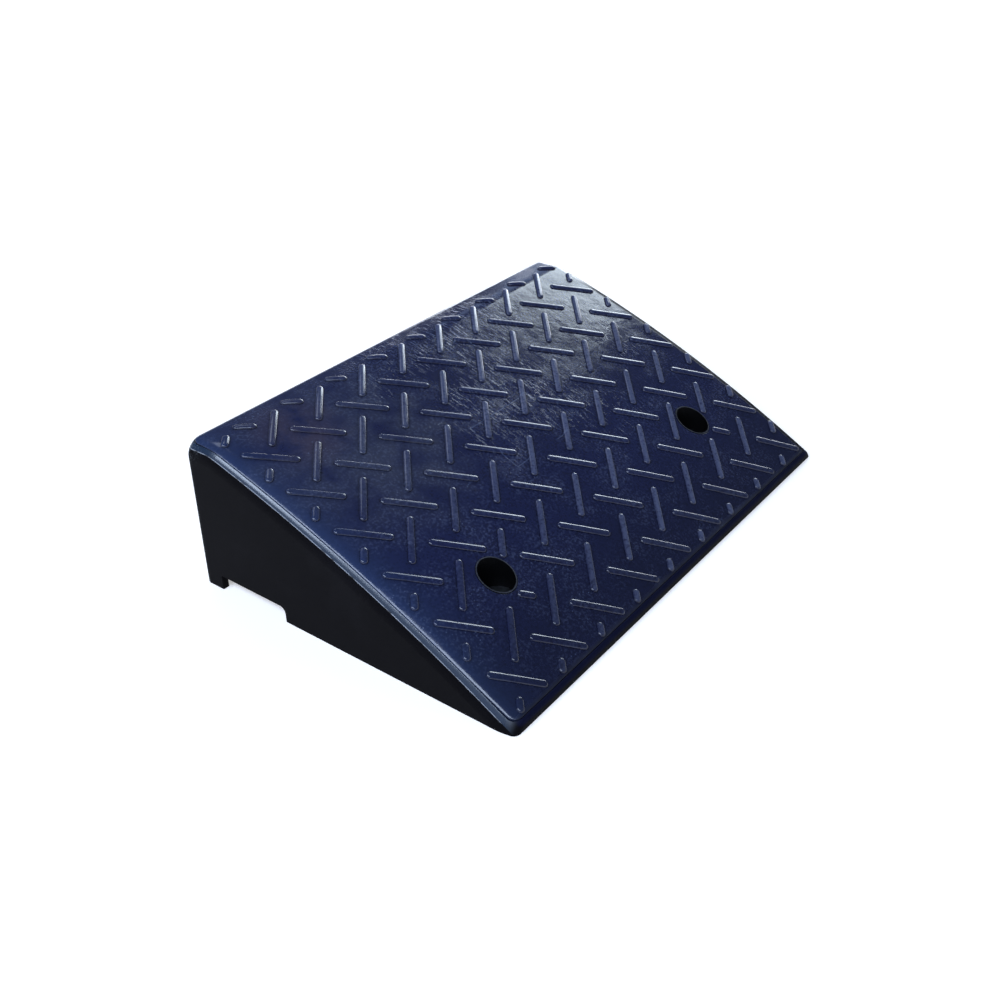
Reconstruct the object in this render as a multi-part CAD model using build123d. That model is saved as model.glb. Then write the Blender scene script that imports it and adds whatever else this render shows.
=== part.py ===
"""Rubber kerb ramp: a hollow body, a barred wearing layer on its convex slope, and two lined bolt holes.

Millimetres. X runs along the kerb, Y from the toe to the high rear wall, Z up.
The origin is on the ground under the middle of the ramp.
"""
from build123d import *
import math
import os

# Outer form
ramp_length = 500.0
ramp_depth = 336.4
toe_height = 7.3  # deck above the ground at the front plane
rear_height = 139.7  # level strip along the rear edge of the deck
strip_depth = 30.0  # from the rear plane to the crease where the slope begins
deck_radius = 1348.6  # convex arc of the slope, seen from the side
crease_round = 50.0
side_round = 15.9
rear_round = 9.0  # all edges of the rear wall but the lowest
toe_round = 6.0

# Wearing layer, laid in a pocket of the body
layer_thickness = 5.0
seam_from_side = 6.0
seam_from_rear = 2.5
seam_from_toe = 3.0
seam_corner_round = 9.0
seam_gap = 0.6
bond_gap = 0.3

# Raised bars in two crossed families, regular when seen from above
bar_pitch = 53.81  # along the ramp
row_pitch = 49.4  # from the toe to the rear
bar_length = 47.9  # seen from above
bar_width = 7.4
bar_height = 2.2
bar_lean = 42.5  # turn of a bar seen from above, one way in each family
bar_side_angle = 30.0  # lean of a bar's sides
bar_root = 1.0  # depth of a bar's base below the deck
shortest_bar = 12.0
bars_from_toe = 158.8  # from the front plane to the middle of the grid of bars
pattern_from_side = 12.4
pattern_from_toe = 4.0
pattern_from_rear = 18.0
bars_from_hole = 6.0  # bare ring between a hole and the bars that it cuts

# Bolt holes, upright, each with a liner that stands on a washer
bolts_from_side = 93.9
bolts_from_toe = 86.8
bolt_hole_diameter = 14.0
sleeve_bore = 31.0
sleeve_wall = 1.0
sleeve_proud = 0.3
sleeve_clearance = 0.2
seat_height = 29.0
washer_thickness = 3.0

# Hollow underside
wall = 6.0
web = 6.0  # under the wearing layer
solid_toe = 40.0
rib = 5.0
widest_cell = 45.0
tower_wall = 6.0

# Cable and drain channel across the underside
channel_from_rear = 24.6
channel_width = 77.0
channel_height = 14.0
channel_round = 6.0

# Values that follow from those above
half_length = ramp_length / 2
front_y = -ramp_depth / 2
rear_y = ramp_depth / 2
margin = 2 * rear_height  # how far cutting solids run past the form
slope_run = ramp_depth - strip_depth
slope_rise = rear_height - toe_height
slope_angle = math.atan2(slope_rise, slope_run)
centre_drop = math.sqrt(deck_radius**2 - (slope_run**2 + slope_rise**2) / 4)
arc_y = front_y + slope_run / 2 + centre_drop * math.sin(slope_angle)
arc_z = toe_height + slope_rise / 2 - centre_drop * math.cos(slope_angle)
crease_z = rear_height - crease_round
crease_y = arc_y - math.sqrt((deck_radius - crease_round) ** 2 - (crease_z - arc_z) ** 2)
slope_end = arc_y + (crease_y - arc_y) * deck_radius / (deck_radius - crease_round)
bars_y = front_y + bars_from_toe
pattern_side = half_length - pattern_from_side
pattern_toe = front_y + pattern_from_toe
pattern_rear = rear_y - pattern_from_rear
bolt_y = front_y + bolts_from_toe
bolt_xs = {"left": bolts_from_side - half_length, "right": half_length - bolts_from_side}
sleeve_radius = sleeve_bore / 2 + sleeve_wall
liner_hole_radius = sleeve_radius + sleeve_clearance
washer_top = seat_height + washer_thickness


def deck_height(y):
    """Height of the deck on the slope, on the rounded crease or on the level strip."""
    if y > crease_y:
        return rear_height
    if y > slope_end:
        return crease_z + math.sqrt(crease_round**2 - (y - crease_y) ** 2)
    return arc_z + math.sqrt(deck_radius**2 - (y - arc_y) ** 2)


def under_deck(depth, half_width):
    """Everything below the deck lowered by a depth, running on past the form at both ends."""
    slope = Pos(arc_y, arc_z) * Circle(deck_radius - depth)
    strip = Pos(0, rear_height - depth - margin) * Rectangle(ramp_depth + 2 * margin, 2 * margin)
    section = slope & strip
    crease = section.vertices().group_by(Axis.Y)[-1].sort_by(Axis.X)[0]
    return extrude(Plane.YZ * fillet(crease, crease_round - depth), half_width, both=True)


def upright(x, radius, bottom, top):
    """Upright cylinder on the bolt line."""
    standing = (Align.CENTER, Align.CENTER, Align.MIN)
    return Pos(x, bolt_y, bottom) * Cylinder(radius, top - bottom, align=standing)


def outer_form():
    """The closed outside of the ramp, with all edges rounded but those on the ground."""
    form = under_deck(0, half_length)
    faces = form.faces().sort_by(Axis.X)
    rims = [side.edges().sort_by(Axis.Y)[1:-1].sort_by(Axis.Z)[1:] for side in (faces[0], faces[-1])]
    form = fillet(rims[0] + rims[1], side_round)
    form = form & extrude(Rectangle(ramp_length, ramp_depth), margin)
    form = fillet(form.faces().sort_by(Axis.Y)[-1].edges().sort_by(Axis.Z)[1:], rear_round)
    return fillet(form.faces().sort_by(Axis.Y)[0].edges().sort_by(Axis.Z)[1:], toe_round)


def seam_prism(gap):
    """Upright prism inside the seam's plan outline, drawn in by a gap."""
    width = ramp_length - 2 * (seam_from_side + gap)
    depth = ramp_depth - seam_from_toe - seam_from_rear - 2 * gap
    middle = (seam_from_toe - seam_from_rear) / 2
    outline = Pos(0, middle) * RectangleRounded(width, depth, seam_corner_round - gap)
    return extrude(outline, margin)


def clip_to_pattern(centre, direction, reach):
    """Stretch of a bar's middle line, as distances from its centre, that stays in the patterned field."""
    low, high = -reach, reach
    fields = ((-pattern_side, pattern_side), (pattern_toe, pattern_rear))
    for place, slope, (start, stop) in zip(centre, direction, fields):
        ends = ((start + bar_width / 2 - place) / slope, (stop - bar_width / 2 - place) / slope)
        low, high = max(low, min(ends)), min(high, max(ends))
    return low, high


def cut_at_hole(stretch, centre, direction, hole):
    """Parts of a stretch that keep clear of a hole, if the bar would run into the hole."""
    low, high = stretch
    to_hole = (hole[0] - centre[0], hole[1] - centre[1])
    along = to_hole[0] * direction[0] + to_hole[1] * direction[1]
    across = to_hole[0] * direction[1] - to_hole[1] * direction[0]
    nearest = min(max(along, low), high)
    if math.hypot(nearest - along, across) > liner_hole_radius + bar_width / 2:
        return [stretch]
    ring = liner_hole_radius + bars_from_hole + bar_width / 2
    half_gap = math.sqrt(max(ring**2 - across**2, 0.0))
    return [(low, min(high, along - half_gap)), (max(low, along + half_gap), high)]


def bar_stretches():
    """Middle lines of all bars, seen from above: the rear end and the toe end of each."""
    reach = (bar_length - bar_width) / 2
    columns = math.ceil(pattern_side / bar_pitch) + 1
    rows = math.ceil(max(bars_y - pattern_toe, pattern_rear - bars_y) / row_pitch) + 1
    step_x, step_y = math.cos(math.radians(bar_lean)), math.sin(math.radians(bar_lean))
    families = (((step_x, -step_y), 0.0, row_pitch / 4), ((-step_x, -step_y), bar_pitch / 2, -row_pitch / 4))
    for direction, shift_x, shift_y in families:
        for column in range(-columns, columns + 1):
            for row in range(-rows, rows + 1):
                centre = (column * bar_pitch + shift_x, bars_y + row * row_pitch + shift_y)
                stretches = [clip_to_pattern(centre, direction, reach)]
                for hole_x in bolt_xs.values():
                    stretches = [
                        part
                        for stretch in stretches
                        if stretch[1] > stretch[0]
                        for part in cut_at_hole(stretch, centre, direction, (hole_x, bolt_y))
                    ]
                for stretch in stretches:
                    if stretch[1] - stretch[0] + bar_width >= shortest_bar:
                        yield [
                            [place + end * step for place, step in zip(centre, direction)] for end in stretch
                        ]


def bar(rear_end, toe_end):
    """One round-ended bar with leaning sides, rooted just below the deck."""
    start, stop = (Vector(x, y, deck_height(y)) for x, y in (rear_end, toe_end))
    run = stop - start
    plane = Plane((start + stop) / 2, x_dir=run, z_dir=run.cross(Vector(1, 0, 0)))
    outline = plane.offset(-bar_root) * SlotCenterToCenter(run.length, bar_width)
    return extrude(outline, bar_height + bar_root, taper=bar_side_angle)


def wearing_layer(form):
    """Barred layer that fills the body's pocket up to the seam."""
    layer = form & seam_prism(seam_gap)
    layer = layer - under_deck(layer_thickness - bond_gap, ramp_length)
    layer = layer + [bar(*stretch) for stretch in bar_stretches()]
    return layer - [upright(x, liner_hole_radius, -margin, margin) for x in bolt_xs.values()]


def cavities():
    """Open cells under the web, between the ribs and round the bolt towers."""
    span_x = ramp_length - 2 * wall
    span_y = ramp_depth - solid_toe - wall
    columns = math.ceil((span_x + rib) / (widest_cell + rib))
    rows = math.ceil((span_y + rib) / (widest_cell + rib))
    pitch_x = (span_x + rib) / columns
    pitch_y = (span_y + rib) / rows
    middle_y = (solid_toe - wall) / 2
    grid = GridLocations(pitch_x, pitch_y, columns, rows) * Rectangle(pitch_x - rib, pitch_y - rib)
    prisms = extrude(Pos(0, middle_y) * Sketch(grid), margin)
    below_web = under_deck(layer_thickness + web, ramp_length)
    towers = [upright(x, liner_hole_radius + tower_wall, -margin, margin) for x in bolt_xs.values()]
    return (prisms & below_web) - towers


def channel():
    """Low passage from side wall to side wall, with its front upper corner rounded."""
    middle_y = rear_y - channel_from_rear - channel_width / 2
    section = Plane.YZ * Pos(middle_y, 0) * Rectangle(channel_width, 2 * channel_height)
    section = fillet(section.vertices().group_by(Axis.Y)[0].sort_by(Axis.Z)[-1], channel_round)
    return extrude(section, half_length + margin, both=True)


def hollow_body(form):
    """Walls, rim, toe, web, ribs and bolt towers in one moulding."""
    pocket = seam_prism(0) - under_deck(layer_thickness, ramp_length)
    shell = form - pocket - cavities() - channel()
    for x in bolt_xs.values():
        shell = shell - upright(x, liner_hole_radius, seat_height, margin)
        shell = shell - upright(x, bolt_hole_diameter / 2, -margin, margin)
    return shell


def bolt_sleeve(x):
    """Liner from the washer up to the sloped deck."""
    tube = upright(x, sleeve_radius, washer_top, margin) - upright(x, sleeve_bore / 2, -margin, margin)
    return tube & under_deck(-sleeve_proud, ramp_length)


def seat_washer(x):
    """Washer on the floor of the hole, under the liner and the bolt head."""
    disc = upright(x, sleeve_radius, seat_height, washer_top)
    return disc - upright(x, bolt_hole_diameter / 2, -margin, margin)


form = outer_form()
nodes = {"body": hollow_body(form), "tread_deck": wearing_layer(form)}
for side, bolt_x in bolt_xs.items():
    nodes[f"bolt_sleeve_{side}"] = bolt_sleeve(bolt_x)
    nodes[f"seat_washer_{side}"] = seat_washer(bolt_x)

os.makedirs("parts", exist_ok=True)
for name, shape in nodes.items():
    export_step(shape, f"parts/{name}.step")
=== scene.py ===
import math

import bmesh
import bpy
import numpy as np
from bpy.props import FloatProperty, FloatVectorProperty, PointerProperty
from mathutils import Euler, Matrix, Vector


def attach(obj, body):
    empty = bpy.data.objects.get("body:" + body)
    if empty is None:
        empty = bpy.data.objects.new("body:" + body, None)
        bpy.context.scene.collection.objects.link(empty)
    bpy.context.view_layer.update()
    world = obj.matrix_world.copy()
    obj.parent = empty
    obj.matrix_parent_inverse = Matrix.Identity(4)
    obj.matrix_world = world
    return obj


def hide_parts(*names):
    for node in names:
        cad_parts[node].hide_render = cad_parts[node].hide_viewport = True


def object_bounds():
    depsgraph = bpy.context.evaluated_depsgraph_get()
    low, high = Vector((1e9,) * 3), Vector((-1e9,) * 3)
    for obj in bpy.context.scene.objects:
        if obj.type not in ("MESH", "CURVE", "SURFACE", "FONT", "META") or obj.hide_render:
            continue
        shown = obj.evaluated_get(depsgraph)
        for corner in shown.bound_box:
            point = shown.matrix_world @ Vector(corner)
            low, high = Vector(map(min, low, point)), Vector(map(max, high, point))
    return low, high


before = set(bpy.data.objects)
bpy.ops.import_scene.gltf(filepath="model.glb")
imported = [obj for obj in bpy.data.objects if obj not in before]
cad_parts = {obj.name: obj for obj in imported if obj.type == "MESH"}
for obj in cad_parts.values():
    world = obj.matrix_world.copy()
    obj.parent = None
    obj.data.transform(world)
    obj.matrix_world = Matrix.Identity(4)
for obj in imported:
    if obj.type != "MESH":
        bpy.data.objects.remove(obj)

bl_info = {
    "name": "Rubber kerb ramp",
    "version": (1, 0, 0),
    "blender": (4, 5, 0),
    "location": "View3D > Sidebar > Kerb ramp",
    "description": "Builds the looks of a rubber kerb ramp around its packed model",
    "category": "Object",
}

MM = 0.001
BODY = "root"
CAD_LOW, CAD_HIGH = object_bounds()
SIDES = ("left", "right")

# Shapes of the pieces
SQUARE_SIZE = 48 * MM  # field of finer cells round a bolt hole
PULL_REACH = 26 * MM  # how far the shrinkage at a corner reaches along the edge
PULL_POWER = 8  # keeps the shrinkage beside the edge
BAR_SQUARENESS = 2.2  # power of the bars' superellipse
BAR_FOOT = 0.45  # half width of a bar's foot, as a share of its width
BAR_ROOT = 1.0 * MM
BAR_WEAR_AND_LIGHT = (0.18, 0.7)  # how pale each family of bars is painted: rubbing, and on the second family mostly painted light
FLASH_FROM_TOE = 11 * MM
FLASH_SUNK = 0.6  # share of the bead's radius that lies in the body
MERGE_WITHIN = 0.002 * MM
CUT_EDGE = 40  # degrees: edges that turn more are shaded sharp
BEAD_EDGE = 80  # the same for bars and beads, which are round

# Steps of the wearing layer's grid: across from the middle, along from the toe, and round its edges
MIDDLE_STEPS = 13
SQUARE_STEPS = 12
BORDER_STEPS = 6
SHOULDER_STEPS = 8
CORNER_STEPS = 8
TOE_STEPS = 6
SLOPE_STEPS = 23
CREASE_STEPS = 8
STRIP_STEPS = 3
MOUTH_STEPS = 6
ROLL_STEPS = 4

# Steps of a bar and of a flash line
BAR_DOME_STEPS = 10
BAR_END_STEPS = 8
BAR_SIDE_STEPS = 5
FLASH_STEPS = 59
FLASH_BEND_STEPS = 16
FLASH_SIDES = 8

# Middles of marks on the deck, in millimetres
SCRATCHED_AT = (60, 90, 125)
FILMED_AT = (-150, 75, 118)
STAINED_AT = (-174, 110, 131)

# A smooth rise in a Map Range node
SMOOTH = {"interpolation_type": "SMOOTHSTEP"}

# Stage, in metres, with a camera that gives the photo's perspective
CAMERA_PLACE = (-0.77102, -0.57347, 0.62371)
CAMERA_TURN = (61.825, 1.02, -53.194)  # degrees about X, Y and Z
CAMERA_LENS = 43.723
CAMERA_SHIFT = (-0.016, -0.09)
FLOOR_REACH = 12.0
FLOOR_LEVEL = -0.4 * MM
PAPER, WHITE = "#ece7e3", "#ffffff"
GLOW_FROM, GLOW_TO = 0.5, 1.6  # from the ramp; between them the paper's glow grows from its least to full
GLOW_LEAST = 0.42
HORIZON, OVERHEAD = "#a6b2c8", "#646f86"
SKY_STRENGTH = 0.8
LAMPS = (  # name, place, aim, width, height, watts and tint
    ("high_left_lamp", (-1.656, -0.25, 1.882), (-0.24, -0.1, 0.07), 2.9, 0.75, 72, "#d6e6ff"),
    ("low_left_lamp", (-2.4, 0.3, 1.2), (-0.24, 0.0, 0.07), 2.6, 1.2, 5, "#dfebff"),
    ("high_rear_lamp", (0.56, 1.422, 2.183), (0.0, 0.0, 0.08), 0.9, 0.82, 5, "#dfebff"),
    ("low_rear_lamp", (2.65, 1.24, 0.63), (0.0, 0.0, 0.08), 2.4, 0.58, 36, "#eef4ff"),
    ("rear_fill_lamp", (2.282, 1.391, 1.325), (0.2, 0.14, 0.14), 0.66, 0.66, 1.6, "#b4d0ff"),
    ("rear_right_lamp", (2.744, 0.826, 1.41), (0.2, 0.12, 0.1), 0.79, 1.44, 28, "#e6f5ff"),
)


def linear(code):
    """Turns an sRGB hex colour into linear red, green and blue."""
    parts = (int(code[i:i + 2], 16) / 255 for i in (1, 3, 5))
    return tuple(v / 12.92 if v <= 0.04045 else ((v + 0.055) / 1.055) ** 2.4 for v in parts)


def size(name, description, millimetres):
    """A length that the user can change, given in millimetres and kept in metres."""
    return FloatProperty(
        name=name, description=description, default=millimetres * MM,
        precision=5, unit="LENGTH", subtype="DISTANCE",
    )


def colour(name, description, code):
    """A colour that the user can change, given as sRGB hex and kept linear."""
    return FloatVectorProperty(
        name=name, description=description, default=linear(code),
        size=3, min=0.0, max=1.0, subtype="COLOR",
    )


class RampSizes(bpy.types.PropertyGroup):
    """Sizes of the slope, the wearing layer, the bars and the bolt holes."""

    ramp_length: size("Length", "Along the kerb", (CAD_HIGH.x - CAD_LOW.x) / MM)
    ramp_depth: size("Depth", "From the toe to the rear wall", (CAD_HIGH.y - CAD_LOW.y) / MM)
    toe_height: size("Toe height", "Slope above the ground at the front plane", 7.3)
    rear_height: size("Rear height", "Level strip along the rear edge", 139.7)
    strip_depth: size("Strip depth", "From the rear plane to the crease where the slope begins", 30.0)
    deck_radius: size("Slope radius", "Convex arc of the slope, seen from the side", 1348.6)
    crease_round: size("Crease rounding", "Between the slope and the level strip", 50.0)
    side_round: size("Side rounding", "Between the deck and the side walls", 15.9)
    rear_round: size("Rear rounding", "Edges of the rear wall", 9.0)
    layer_thickness: size("Layer thickness", "Wearing layer, without its bars", 4.7)
    seam_from_side: size("Seam from side", "Edge of the wearing layer", 6.15)
    seam_from_rear: size("Seam from rear", "Edge of the wearing layer", 3.1)
    seam_from_toe: size("Seam from toe", "Edge of the wearing layer", 3.6)
    seam_corner: size("Seam corner", "Plan radius at the layer's corners", 8.4)
    edge_roll: size("Edge roll", "Rounding of the layer's cut edges", 0.45)
    corner_pull: size("Corner pull", "How far the layer has shrunk away at the left corners", 1.0)
    bar_pitch: size("Bar pitch", "Between like bars, along the ramp", 53.81)
    row_pitch: size("Row pitch", "Between like bars, from the toe to the rear", 49.4)
    bar_length: size("Bar length", "Over the round ends, seen from above", 47.9)
    bar_width: size("Bar width", "At the foot", 7.4)
    bar_height: size("Bar height", "Above the deck", 2.2)
    bar_lean: FloatProperty(
        name="Bar lean", description="Turn of a bar seen from above",
        default=math.radians(42.5), subtype="ANGLE",
    )
    shortest_bar: size("Shortest bar", "Shorter stubs are left out", 12.0)
    bars_from_toe: size("Bars from toe", "From the front plane to the middle of the bars", 158.8)
    pattern_from_side: size("Pattern from side", "Plain border beside the bars", 12.4)
    pattern_from_toe: size("Pattern from toe", "Plain border below the bars", 4.0)
    pattern_from_rear: size("Pattern from rear", "Plain border above the bars", 18.0)
    bars_from_hole: size("Bars from hole", "Plain ring round a hole that cuts a bar", 1.5)
    bolts_from_side: size("Bolts from side", "From a side wall to the middle of a hole", 93.9)
    bolts_from_toe: size("Bolts from toe", "From the front plane to the holes", 86.8)
    hole_radius: size("Hole radius", "Hole in the layer for the bolt sleeve", 16.7)
    flash_depth: size("Flash depth", "Parting line below the slope, on the side rounding", 7.36)
    flash_radius: size("Flash radius", "Half width of the bead on the parting line", 0.4)
    insert_width: size("Insert width", "Witness line of the blank mould insert, along the ramp", 97.5)
    insert_depth: size("Insert depth", "Witness line of the blank mould insert, seen from above", 51.9)
    insert_from_toe: size("Insert from toe", "From the front plane to the middle of the insert", 171.2)


class RampColours(bpy.types.PropertyGroup):
    """Colours of the finishes."""

    navy: colour("Navy rubber", "Wearing layer", "#171c3d")
    mottle: colour("Mottle", "Paler grain of the wearing layer", "#353c57")
    # Partly wear, partly painted light: paler tops of the bars, strongest on the second family for the light
    # that falls on it.
    navy_worn_and_lit: colour("Worn navy rubber", "Rubbed tops and edges of the bars", "#5a607a")
    film: colour("Dust film", "Thin dust on the rear left quarter of the wearing layer", "#464a56")
    stain: colour("Stain", "Brown stain in the rear left quarter", "#3a3040")
    # Painted reflection: a paler blue beside the left edge, for sky mirrored in the rounded shoulder.
    painted_sheen: colour("Bloom", "Pale wax on the wearing layer beside the left edge", "#2f4060")
    scuff: colour("Scuffs", "Hairline scratches in the wearing layer", "#7080a2")
    black: colour("Black rubber", "Body", "#09080b")
    dust: colour("Dust", "Dust in the grain of the body", "#121114")
    # Painted reflection: this navy, given to the left rim only, stands in for blue sky mirrored in the glossy
    # shoulder.
    rim: colour("Rim", "Rim of the body above the flash line", "#17283c")
    # Road dirt on the toe and the right edge; the same colour is painted shade at the feet of the bars and
    # darkens the lower slope towards the toe.
    dirt_and_shade: colour("Dirt", "Road dirt on the toe, on the right edge and round the bars", "#0d0d12")
    rubbed: colour("Rubbed corners", "Grey scuffs at the upper rear corners of the body", "#6a6d70")
    # Partly scuffing, partly painted highlight: the pale grey stands in for light caught along the flash's
    # edge.
    flash: colour("Flash", "Scuffed flash line on the body's shoulders", "#8c9097")
    sleeve: colour("Sleeve", "Bolt sleeves", "#050506")
    sleeve_rim: colour("Sleeve rim", "Worn upper edge of the sleeves", "#4a4c54")
    zinc: colour("Zinc", "Seat washers", "#6d7073")


class Slope:
    """The deck seen from the side: a convex arc, a rounded crease and a level strip at the rear."""

    def __init__(self, s):
        run, rise = s.ramp_depth - s.strip_depth, s.rear_height - s.toe_height
        lean = math.atan2(rise, run)
        centre_drop = math.sqrt(s.deck_radius**2 - (run**2 + rise**2) / 4)
        self.sizes = s
        self.half_length = s.ramp_length / 2
        self.front_y = -s.ramp_depth / 2
        self.rear_y = s.ramp_depth / 2
        self.axis_y = self.front_y + run / 2 + centre_drop * math.sin(lean)
        self.axis_z = s.toe_height + rise / 2 - centre_drop * math.cos(lean)
        self.crease_z = s.rear_height - s.crease_round
        from_axis = s.deck_radius - s.crease_round
        self.crease_y = self.axis_y - math.sqrt(from_axis**2 - (self.crease_z - self.axis_z) ** 2)
        self.crease_share = (self.crease_y - self.axis_y) / from_axis
        self.slope_end = self.axis_y + self.crease_share * s.deck_radius
        self.bolt_y = self.front_y + s.bolts_from_toe
        self.bolt_xs = (s.bolts_from_side - self.half_length, self.half_length - s.bolts_from_side)

    def under(self, y, depth=0.0):
        """Height of the deck lowered by a depth: all radii shrink by it and the strip sinks by it."""
        s = self.sizes
        slope_end = self.axis_y + self.crease_share * (s.deck_radius - depth)
        arc = self.axis_z + np.sqrt((s.deck_radius - depth) ** 2 - (y - self.axis_y) ** 2)
        above = np.clip((s.crease_round - depth) ** 2 - (y - self.crease_y) ** 2, 0, None)
        crease = self.crease_z + np.sqrt(above)
        return np.where(y < slope_end, arc, np.where(y < self.crease_y, crease, s.rear_height - depth))

    def tilt(self, y):
        """Sine of the deck's lean towards the toe."""
        s = self.sizes
        on_crease = np.clip((self.crease_y - y) / s.crease_round, 0, None)
        return np.where(y < self.slope_end, (self.axis_y - y) / s.deck_radius, on_crease)

    def top(self, x, y):
        """Height of the rounded deck.

        A section across the ramp has round shoulders. Near the rear plane the whole section shrinks by the
        rear rounding, so the shoulder's radius shrinks by the same step."""
        s = self.sizes
        behind = np.clip(y - self.rear_y + s.rear_round, 0, s.rear_round)
        shoulder = s.side_round - s.rear_round + np.sqrt(s.rear_round**2 - behind**2)
        aside = np.clip(np.abs(x) - self.half_length + s.side_round, 0, None)
        return self.under(y, s.side_round - np.sqrt(np.clip(shoulder**2 - aside**2, 0, None)))


def grid_quads(rows, columns, wrap=False):
    """Corner numbers of a grid's quads; wrap joins the last column to the first."""
    number = np.arange(rows * columns).reshape(rows, columns)
    if wrap:
        number = np.concatenate([number, number[:, :1]], axis=1)
    return np.stack([number[:-1, :-1], number[:-1, 1:], number[1:, 1:], number[1:, :-1]], axis=-1)


def stepped(start, *stretches):
    """Places from a start onwards; each stretch is its end and the number of equal steps to it."""
    places = [np.array([start])]
    for stop, steps in stretches:
        places.append(np.linspace(places[-1][-1], stop, steps + 1)[1:])
    return np.concatenate(places)


def make_piece(name, patches, material, sharp=CUT_EDGE, values=None):
    """Joins patches of points and quads into one closed mesh object that rides on the ramp's body."""
    starts = np.cumsum([0] + [points.size // 3 for points, _ in patches])
    points = np.concatenate([points.reshape(-1, 3) for points, _ in patches])
    quads = np.concatenate([quads.reshape(-1, 4) + start for (_, quads), start in zip(patches, starts)])
    mesh = bpy.data.meshes.new(name)
    mesh.from_pydata(points.tolist(), [], quads.tolist())
    for label, numbers in (values or {}).items():
        mesh.attributes.new(label, "FLOAT", "POINT").data.foreach_set("value", numbers.ravel())
    shape = bmesh.new()
    shape.from_mesh(mesh)
    bmesh.ops.remove_doubles(shape, verts=shape.verts, dist=MERGE_WITHIN)
    bmesh.ops.recalc_face_normals(shape, faces=shape.faces)
    shape.to_mesh(mesh)
    shape.free()
    if not mesh.polygons:
        raise RuntimeError(f"{name} has no faces")
    mesh.shade_smooth()
    mesh.set_sharp_from_angle(angle=math.radians(sharp))
    mesh.materials.append(material)
    piece = bpy.data.objects.new(name, mesh)
    bpy.context.scene.collection.objects.link(piece)
    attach(piece, BODY)
    return piece


def settings():
    """The slope and the colours that the scene's properties give."""
    scene = bpy.context.scene
    return Slope(scene.ramp_sizes), scene.ramp_colours


def add(tree, kind, inputs, output=0, **properties):
    """Adds a shader node, sets its properties, sets or links its inputs, and returns one of its outputs."""
    made = tree.nodes.new(kind)
    for key, value in properties.items():
        setattr(made, key, value)
    for key, value in inputs.items():
        if isinstance(value, bpy.types.NodeSocket):
            tree.links.new(value, made.inputs[key])
        else:
            made.inputs[key].default_value = value
    return made.outputs[output] if made.outputs else made


def finish(name, build):
    """Finds a material by name, or makes it: build fills its empty node tree and returns the surface."""
    found = bpy.data.materials.get(name)
    if found:
        return found
    material = bpy.data.materials.new(name)
    material.use_nodes = True
    material.node_tree.nodes.clear()
    add(material.node_tree, "ShaderNodeOutputMaterial", {"Surface": build(material.node_tree)})
    return material


def rgba(value, level=1.0):
    """A colour at a level of brightness, with full cover, for a node's socket."""
    return (*(part * level for part in value), 1.0)


def hairlines(tree, place, degrees, spacing, length):
    """Sparse fine scratches in one direction: noise drawn out along it, of which only the peaks are kept.

    Spacing and length are in millimetres. Real scratches are about 0.2 mm wide, too fine to show, so they are
    drawn about as coarse as a pixel."""
    turn = (0, 0, math.radians(degrees))
    per_metre = [1 / (width * MM) for width in (spacing, length, length)]
    drawn = add(tree, "ShaderNodeMapping", {"Vector": place, "Rotation": turn, "Scale": per_metre})
    streaks = add(tree, "ShaderNodeTexNoise", {"Vector": drawn, "Scale": 1.0, "Detail": 2.0})
    return add(tree, "ShaderNodeMapRange", {"Value": streaks, "From Min": 0.64, "From Max": 0.74}, **SMOOTH)


def near(tree, place, centre, reach, full, top=1.0):
    """The top value within the full distance from a centre, and nothing beyond the reach, in millimetres."""
    middle = [part * MM for part in centre]
    away = add(tree, "ShaderNodeVectorMath", {0: place, 1: middle}, "Value", operation="DISTANCE")
    fade = {"Value": away, "From Min": reach * MM, "From Max": full * MM, "To Max": top}
    return add(tree, "ShaderNodeMapRange", fade, **SMOOTH)


def scratches(tree, place, cloud):
    """Hairline scratches in three directions, gathered in clouds on the upper middle of the deck."""
    first = hairlines(tree, place, degrees=-6, spacing=0.9, length=30)
    second = hairlines(tree, place, degrees=52, spacing=0.9, length=16)
    third = hairlines(tree, place, degrees=-48, spacing=1.0, length=11)
    most = add(tree, "ShaderNodeMath", {0: first, 1: second}, operation="MAXIMUM")
    most = add(tree, "ShaderNodeMath", {0: most, 1: third}, operation="MAXIMUM")
    gathered = near(tree, place, SCRATCHED_AT, reach=230, full=50)
    often = {"Value": cloud, "From Min": 0.36, "From Max": 0.58, "To Max": gathered}
    often = add(tree, "ShaderNodeMapRange", often, **SMOOTH)
    return add(tree, "ShaderNodeMath", {0: most, 1: often}, operation="MULTIPLY")


def insert_line(tree, slope, x, y, top):
    """Witness line of the mould insert: the top value beside a rectangle's outline, nothing elsewhere."""
    s = slope.sizes
    middle = slope.front_y + s.insert_from_toe
    along = add(tree, "ShaderNodeMath", {0: y, 1: middle}, operation="SUBTRACT")
    sides = []
    for distance, half in ((x, s.insert_width / 2), (along, s.insert_depth / 2)):
        from_middle = add(tree, "ShaderNodeMath", {0: distance}, operation="ABSOLUTE")
        sides.append(add(tree, "ShaderNodeMath", {0: from_middle, 1: half}, operation="SUBTRACT"))
    outside = add(tree, "ShaderNodeMath", {0: sides[0], 1: sides[1]}, operation="MAXIMUM")
    outside = add(tree, "ShaderNodeMath", {0: outside}, operation="ABSOLUTE")
    fade = {"Value": outside, "From Min": 0.6 * MM, "From Max": 0.2 * MM, "To Max": top}
    return add(tree, "ShaderNodeMapRange", fade, **SMOOTH)


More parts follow.
